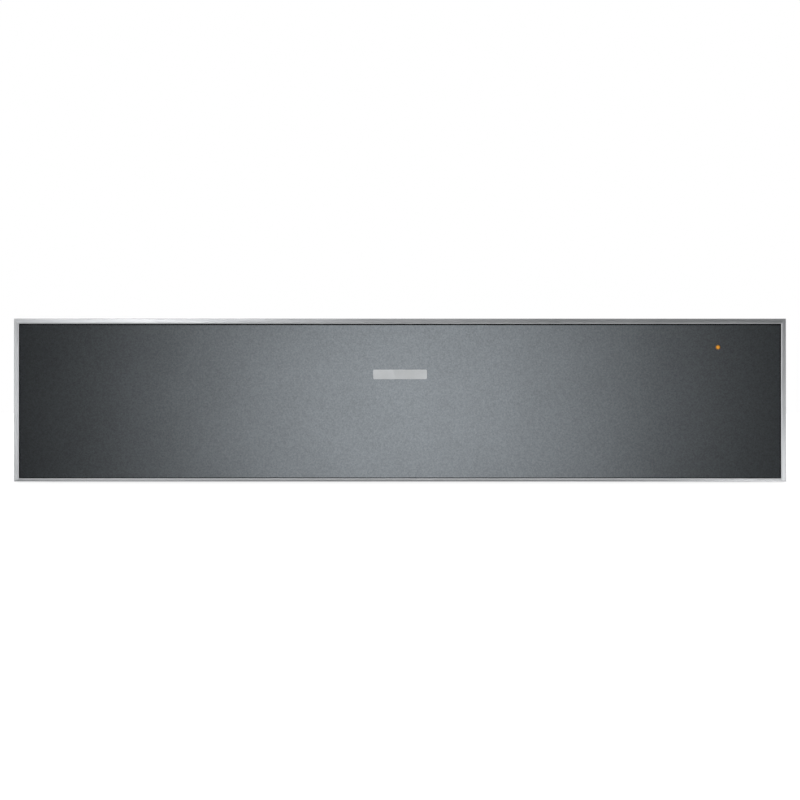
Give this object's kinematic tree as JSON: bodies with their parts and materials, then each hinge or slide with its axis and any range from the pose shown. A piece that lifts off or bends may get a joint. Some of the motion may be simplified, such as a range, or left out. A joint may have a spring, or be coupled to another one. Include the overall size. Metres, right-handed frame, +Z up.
{
  "type": "push-to-open warming drawer",
  "caption": "Low wide warming drawer with a framed grey glass front, no handle, telescopic rails, heated base under a glass plate and a casing on low rubber feet.",
  "frame": {"origin": "on the floor below the middle of the whole appliance", "axes": "X across the front, to the right for someone facing it; the front faces -Y; Z up"},
  "size_m": [0.594, 0.562, 0.1264],
  "materials": {
    "grey_glass": "grey tinted glass over a metallic anthracite back coat, polished edges",
    "bright_steel": "fine satin steel with polished chamfers",
    "black_seal": "matt black elastomer",
    "zinc_sheet": "zinc-coated sheet",
    "mineral_wool": "pressed mineral wool board",
    "stainless": "stainless sheet, fine satin grain",
    "amber_lens": "clear amber light pipe",
    "led_amber": "amber lamp body",
    "base_glass": "dark toughened glass plate",
    "mat_silicone": "dark silicone mat with a fine raised weave",
    "screw_steel": "zinc-plated pan-head screws",
    "rail_steel": "rolled zinc-plated rail steel",
    "cage_steel": "thin bright strip with bearing balls",
    "tray_aluminised": "aluminised reflector sheet",
    "element_sheath": "oxidised steel sheath",
    "black_plastic": "fine-grained black plastic",
    "grey_plastic": "moulded grey plastic",
    "motor_steel": "laminated steel and zinc-plated cup",
    "board_green": "circuit board with black parts",
    "sensor_steel": "drawn steel",
    "spring_steel": "spring wire",
    "wire_sleeve": "silicone sleeve and plastic clips",
    "foot_rubber": "black rubber"
  },
  "bodies": {
    "casing": {"base_insulation": "mineral_wool", "base_pan": "zinc_sheet", "casing_screws": "screw_steel", "control_board": "board_green", "control_header": "zinc_sheet", "cord_gland": "black_plastic", "fan_motor": "motor_steel", "feet": "foot_rubber", "heater_tray": "tray_aluminised", "heating_element": "element_sheath", "indicator_led": "led_amber", "latch_housing": "black_plastic", "latch_spring": "spring_steel", "power_module": "board_green", "push_switch": "black_plastic", "rail_outer_left": "rail_steel", "rail_outer_right": "rail_steel", "rear_panel": "zinc_sheet", "rear_partition": "zinc_sheet", "rotary_switch": "black_plastic", "side_wall_left": "zinc_sheet", "side_wall_right": "zinc_sheet", "temperature_sensor": "sensor_steel", "terminal_block": "black_plastic", "thermal_cutout": "sensor_steel", "top_cover": "zinc_sheet", "wiring_harness": "wire_sleeve"},
    "drawer": {"front_glass": "grey_glass", "frame_top": "bright_steel", "frame_bottom": "bright_steel", "frame_left": "bright_steel", "frame_right": "bright_steel", "glass_seal": "black_seal", "carrier_plate": "zinc_sheet", "front_insulation": "mineral_wool", "inner_front_panel": "stainless", "lamp_light_pipe": "amber_lens", "badge_plate": "bright_steel", "tub_side_left": "stainless", "tub_side_right": "stainless", "tub_rear_wall": "stainless", "tub_base": "stainless", "glass_base_plate": "base_glass", "anti_slip_mat": "mat_silicone", "rail_inner_left": "rail_steel", "rail_inner_right": "rail_steel", "latch_striker": "stainless", "front_brackets": "zinc_sheet", "drawer_screws": "screw_steel"},
    "rail_middle_left": {"rail_middle_left": "rail_steel"},
    "rail_middle_right": {"rail_middle_right": "rail_steel"},
    "ball_cage_outer_left": {"ball_cage_outer_left": "cage_steel"},
    "ball_cage_outer_right": {"ball_cage_outer_right": "cage_steel"},
    "ball_cage_inner_left": {"ball_cage_inner_left": "cage_steel"},
    "ball_cage_inner_right": {"ball_cage_inner_right": "cage_steel"},
    "selector_knob": {"selector_knob": "black_plastic"},
    "power_button": {"power_button": "black_plastic"},
    "fan_impeller": {"fan_impeller": "grey_plastic"},
    "latch_plunger": {"latch_plunger": "grey_plastic"},
    "latch_pawl": {"latch_pawl": "grey_plastic"}
  },
  "joints": [
    {"name": "drawer_slide", "type": "slide", "parent": "casing", "child": "drawer", "axis": [0, -1, 0], "range_m": [-0.003, 0.43]},
    {"name": "selector_turn", "type": "hinge", "parent": "casing", "child": "selector_knob", "pos_m": [0.1787, -0.239, 0.111], "axis": [0, 1, 0], "range_deg": [0, 180]},
    {"name": "power_press", "type": "slide", "parent": "casing", "child": "power_button", "axis": [0, 1, 0], "range_m": [0, 0.0015], "stiffness_N_per_m": 600},
    {"name": "fan_spin", "type": "hinge", "parent": "casing", "child": "fan_impeller", "pos_m": [0, 0.19, 0.05835], "axis": [0, 1, 0], "continuous": true},
    {"name": "plunger_travel", "type": "slide", "parent": "casing", "child": "latch_plunger", "axis": [0, 1, 0], "range_m": [0, 0.003], "stiffness_N_per_m": 500, "deforming": ["latch_spring"]},
    {"name": "pawl_swing", "type": "hinge", "parent": "casing", "child": "latch_pawl", "pos_m": [-0.17108, 0.2042, 0.05835], "axis": [0, 0, 1], "range_deg": [-6, 4]},
    {"name": "rail_middle_left_travel", "type": "slide", "parent": "casing", "child": "rail_middle_left", "axis": [0, -1, 0], "range_m": [-0.002, 0.2155]},
    {"name": "ball_cage_outer_left_travel", "type": "slide", "parent": "casing", "child": "ball_cage_outer_left", "axis": [0, -1, 0], "range_m": [-0.00125, 0.108]},
    {"name": "ball_cage_inner_left_travel", "type": "slide", "parent": "casing", "child": "ball_cage_inner_left", "axis": [0, -1, 0], "range_m": [-0.00275, 0.323]},
    {"name": "rail_middle_right_travel", "type": "slide", "parent": "casing", "child": "rail_middle_right", "axis": [0, -1, 0], "range_m": [-0.002, 0.2155]},
    {"name": "ball_cage_outer_right_travel", "type": "slide", "parent": "casing", "child": "ball_cage_outer_right", "axis": [0, -1, 0], "range_m": [-0.00125, 0.108]},
    {"name": "ball_cage_inner_right_travel", "type": "slide", "parent": "casing", "child": "ball_cage_inner_right", "axis": [0, -1, 0], "range_m": [-0.00275, 0.323]}
  ],
  "couplings": [
    {"joint": "rail_middle_left_travel", "follows": "drawer_slide", "ratio": 0.5},
    {"joint": "ball_cage_outer_left_travel", "follows": "drawer_slide", "ratio": 0.25},
    {"joint": "ball_cage_inner_left_travel", "follows": "drawer_slide", "ratio": 0.75},
    {"joint": "rail_middle_right_travel", "follows": "drawer_slide", "ratio": 0.5},
    {"joint": "ball_cage_outer_right_travel", "follows": "drawer_slide", "ratio": 0.25},
    {"joint": "ball_cage_inner_right_travel", "follows": "drawer_slide", "ratio": 0.75}
  ]
}
